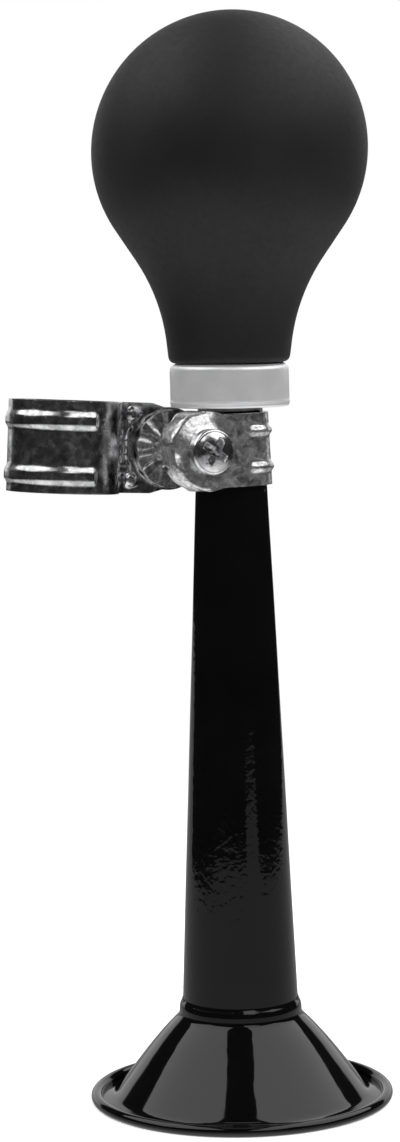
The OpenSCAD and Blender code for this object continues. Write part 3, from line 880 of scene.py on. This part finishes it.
# %% [markdown]
# ## Nut and washers
# The nut is turned from hexagon bar: each ring's radius is the smaller of the hexagon's and the
# chamfer's cone, which gives the curved edges that a real nut has. The flat washer is stamped, with
# one rounded face.

# %% Nut and flat washer
nut_af, nut_h, nut_y = 8.0, 4.0, 14.468
chamfer_start, chamfer_rise, corner_worn = 0.96, 1.9, 0.06
washer_r, washer_y, washer_t = 5.0, 12.268, 1.0


def hexagon(a, r, z):
    """Cuts the nut's rings down to the hexagon and to the chamfers' cones."""
    if r < 3:
        return r, z
    side = nut_af / 2 / math.cos((a + math.pi / 6) % (math.pi / 3) - math.pi / 6)
    chamfer = nut_af / 2 * chamfer_start + chamfer_rise * min(z, nut_h - z)
    return min(side, chamfer, nut_af / 2 / math.cos(math.pi / 6) - corner_worn), z


nut_outline = ([(screw_r + 0.3, 0.0)] + [(nut_af, z) for z in np.linspace(0, nut_h, 25)]
               + [(screw_r + 0.3, nut_h), (screw_r + 0.03, nut_h - 0.3), (screw_r + 0.03, 0.3)])
set_piece("hexagon_nut", turn("hexagon_nut", nut_outline, 144, hexagon, on_screw(nut_y), 25),
          zinc_hardware, "nut", "clamp_nut")

washer_outline = ([(hole_r, 0.15), (hole_r + 0.15, 0.0), (washer_r - 0.1, 0.0), (washer_r, 0.1)]
                  + arc(washer_r - 0.4, washer_t - 0.4, 0.4, 0, 90, 6)
                  + [(hole_r + 0.1, washer_t), (hole_r, washer_t - 0.1)])
set_piece("stamped_washer", turn("stamped_washer", washer_outline, 96, None, on_screw(washer_y), 30),
          zinc_hardware, "clamp", "flat_washer")

# %% [markdown]
# The spring washer is square wire wound to a ring and cut through on the slant. A turned shape has no
# ends, so this one is swept: a square outline is carried round and stops short of a full turn.

# %% Spring washer
spring_r, spring_y, spring_t, wire_edge = 4.35, 13.268, 1.2, 0.08
half_cut, cut_slope = 0.07, 0.45


def spring_ring():
    """A ring of square wire with a slanted cut, its ends a hair apart."""
    bm = bmesh.new()
    section = [(hole_r + wire_edge, 0.0), (spring_r - wire_edge, 0.0), (spring_r, wire_edge),
               (spring_r, spring_t - wire_edge), (spring_r - wire_edge, spring_t),
               (hole_r + wire_edge, spring_t), (hole_r, spring_t - wire_edge), (hole_r, wire_edge)]
    rings = []
    for t in np.linspace(0, 1, 97):
        ring = []
        for r, z in section:
            slant = cut_slope * (z - spring_t / 2) / r
            a = half_cut + slant + t * 2 * (math.pi - half_cut)
            ring.append(bm.verts.new((r * math.cos(a) * MM, r * math.sin(a) * MM, z * MM)))
        rings.append(ring)
    n = len(section)
    for here, there in zip(rings, rings[1:]):
        for i in range(n):
            bm.faces.new((here[i], there[i], there[(i + 1) % n], here[(i + 1) % n]))
    bm.faces.new(rings[0])
    bm.faces.new(rings[-1][::-1])
    bmesh.ops.recalc_face_normals(bm, faces=bm.faces)
    bmesh.ops.transform(bm, matrix=on_screw(spring_y), verts=bm.verts)
    mesh = bpy.data.meshes.new("spring_washer")
    bm.to_mesh(mesh)
    bm.free()
    mesh.set_sharp_from_angle(angle=math.radians(30))
    return mesh


set_piece("spring_washer", spring_ring(), zinc_hardware, "clamp", "lock_washer")

# %% [markdown]
# ## Helpers for floor and world
# Floor and world both answer a ray by its kind: the camera's own rays see plain white, rays that a
# gloss sends out see the studio, and all others bring light. The node trees for that repeat the same
# few steps, so each step gets a short helper.

# %% Helpers for floor and world
def add(kind, operation=None, **inputs):
    """A new node in the current tree. Inputs go by name, or by number as i0, i1 and so on, and are
    given a constant or another node's output."""
    node = tree.nodes.new(kind)
    if operation:
        node.operation = operation
    for socket, value in inputs.items():
        target = node.inputs[int(socket[1:]) if socket[1:].isdigit() else socket]
        if isinstance(value, bpy.types.NodeSocket):
            tree.links.new(value, target)
        else:
            target.default_value = value
    return node


def calc(operation, a, b):
    """The result of a sum with two numbers."""
    return add("ShaderNodeMath", operation, i0=a, i1=b).outputs[0]


def along(place, way):
    """How far a place lies along a direction."""
    return add("ShaderNodeVectorMath", "DOT_PRODUCT", i0=place, i1=way).outputs["Value"]


def spread(value, low, high, at_low=0.0, at_high=1.0):
    """Turns a value that runs from low to high into one from at_low to at_high."""
    node = add("ShaderNodeMapRange", Value=value)
    ends = {"From Min": low, "From Max": high, "To Min": at_low, "To Max": at_high}
    for socket, number in ends.items():
        node.inputs[socket].default_value = number
    return node.outputs["Result"]


def glow(kind, strength):
    """White light of a strength, from an Emission or a Background."""
    return add("ShaderNode" + kind, Color=(1, 1, 1, 1), Strength=strength).outputs[0]


def by_ray(seen, mirrored, others):
    """Picks a shader by the kind of ray that asks."""
    path = add("ShaderNodeLightPath").outputs
    straight = calc("MAXIMUM", path["Is Camera Ray"], path["Is Transmission Ray"])
    plain = add("ShaderNodeMixShader", i0=straight, i1=others, i2=seen).outputs[0]
    return add("ShaderNodeMixShader", i0=path["Is Glossy Ray"], i1=plain, i2=mirrored).outputs[0]


print("floor and world helpers ready")

# %% [markdown]
# ## Floor and background
# The photo's background is plain white. The camera sees a white floor and a white world, and near
# the horn the floor is real paint in real light, so that it keeps the horn's shadow.

# %% Floor
floor_mesh = bpy.data.meshes.new("studio_floor")
bm = bmesh.new()
bmesh.ops.create_grid(bm, x_segments=8, y_segments=8, size=6.0)
bm.to_mesh(floor_mesh)
bm.free()
studio_floor = bpy.data.objects.new("studio_floor", floor_mesh)
bpy.context.scene.collection.objects.link(studio_floor)
white_floor = bpy.data.materials.new("white_floor")
white_floor.use_nodes = True
studio_floor.data.materials.append(white_floor)
print("floor is 12 m square")

# %% [markdown]
# Gloss needs something to show as well. The horn stood on a sheet of white paper with a crooked edge:
# enamel mirrors the paper close by and dark beyond it, and the line between the two is the ragged one
# on the tube. The paper's edge is a table of bearings and distances, put in a ramp. Faces that look
# steeply down see the paper brighter than those that look along it, as the photo's do.

# %% Paper on the floor
tree = white_floor.node_tree
tree.nodes.clear()
spot = add("ShaderNodeTexCoord").outputs["Object"]
reach = add("ShaderNodeVectorMath", "LENGTH", i0=spot).outputs["Value"]
bearing = calc("ARCTAN2", along(spot, across_view), along(spot, to_camera))
paper_edge = [(-180, 1.2), (-133, 1.1), (-124, 0.36), (-95, 0.36), (-60, 0.42), (-40, 0.50),
              (0, 0.52), (17, 0.52), (23, 0.9), (43, 0.9), (48, 0.5), (62, 0.44),
              (110, 0.42), (125, 0.45), (150, 0.6), (180, 1.2)]
edge_at = ramp(tree, spread(bearing, -math.pi, math.pi),
               [((angle + 180) / 360, r) for angle, r in paper_edge])
on_paper = spread(calc("SUBTRACT", reach, edge_at), -0.015, 0.015, 1.0, 0.04)
paper_glow = ramp(tree, reach, [(0.0, 0.42), (0.1, 0.36), (0.3, 0.33), (0.9, 0.30)])
steep_glow = spread(add("ShaderNodeLayerWeight").outputs["Facing"], 0.35, 0.62, 2.6, 1.0)
mirror_level = calc("MULTIPLY", calc("MULTIPLY", paper_glow, on_paper), steep_glow)

paint = add("ShaderNodeBsdfDiffuse", Color=(0.85, 0.85, 0.85, 1)).outputs[0]
lit_paint = add("ShaderNodeAddShader", i0=paint, i1=glow("Emission", 0.45)).outputs[0]
white = glow("Emission", 1.0)
seen = add("ShaderNodeMixShader", i0=spread(reach, 0.10, 0.45), i1=lit_paint, i2=white).outputs[0]
add("ShaderNodeOutputMaterial", Surface=by_ray(seen, glow("Emission", mirror_level), paint))
print("floor has", len(tree.nodes), "nodes")

# %% [markdown]
# ## World
# A ray from the camera finds white. A glossy ray finds white only behind the horn, where the paper
# hangs, and a dark room in front of it; the plating and the enamel need that dark to look like metal
# and gloss. The white begins well round the back, so that the bell's cone shows a black band between
# it and the soft boxes. All other rays get a low even fill.

# %% World
world = bpy.data.worlds.new("studio")
bpy.context.scene.world = world
world.use_nodes = True
tree = world.node_tree
tree.nodes.clear()
heading = add("ShaderNodeTexCoord").outputs["Generated"]
behind = along(heading, (0.5, 0.866, -0.3))
room = spread(behind, 0.65, 0.70, 0.02, 0.85)
add("ShaderNodeOutputWorld",
    Surface=by_ray(glow("Background", 1.0), glow("Background", room), glow("Background", 0.6)))
print("world has", len(tree.nodes), "nodes")

# %% [markdown]
# ## Lights
# Two big soft boxes hang level, a metre up, left and right of the horn. Their pictures are the two
# grey panels on the bell's cone, and the gap between them is its black band. Nothing bright stands
# level with the horn in front, which is why the tube and the flat of the clamp stay dark while every
# edge and bead that tilts up or down shines. A small box nearly overhead lights the bulb's shoulder,
# and one further to the front is what the strap's front ear mirrors in its falling face.

# %% Lights
def soft_box(name, left, right, back, front, glow):
    """A level soft box, one metre up. Its sides are given in metres as the camera sees them, from the
    horn's axis: left and right across, back and front in depth. White paper glows at 1."""
    light = bpy.data.lights.new(name, "AREA")
    light.shape, light.size, light.size_y = "RECTANGLE", right - left, front - back
    light.energy = glow * math.pi * light.size * light.size_y
    lamp = bpy.data.objects.new(name, light)
    bpy.context.scene.collection.objects.link(lamp)
    middle = (Vector(across_view) * (left + right) / 2 + Vector(to_camera) * (back + front) / 2
              + Vector((0, 0, 1.0)))
    lamp.matrix_world = Matrix.Translation(middle) @ Matrix.Rotation(math.radians(-30), 4, "Z")
    lamp.visible_camera = False
    print(name, "glows at", glow)


soft_box("left_soft_box", -1.75, -0.26, -0.69, 0.85, 1.6)
soft_box("right_soft_box", 0.21, 1.95, -1.1, 0.85, 1.65)
soft_box("front_soft_box", -0.17, 0.17, 0.13, 0.21, 1.3)
soft_box("ear_soft_box", 0.15, 0.85, 0.95, 1.7, 1.6)
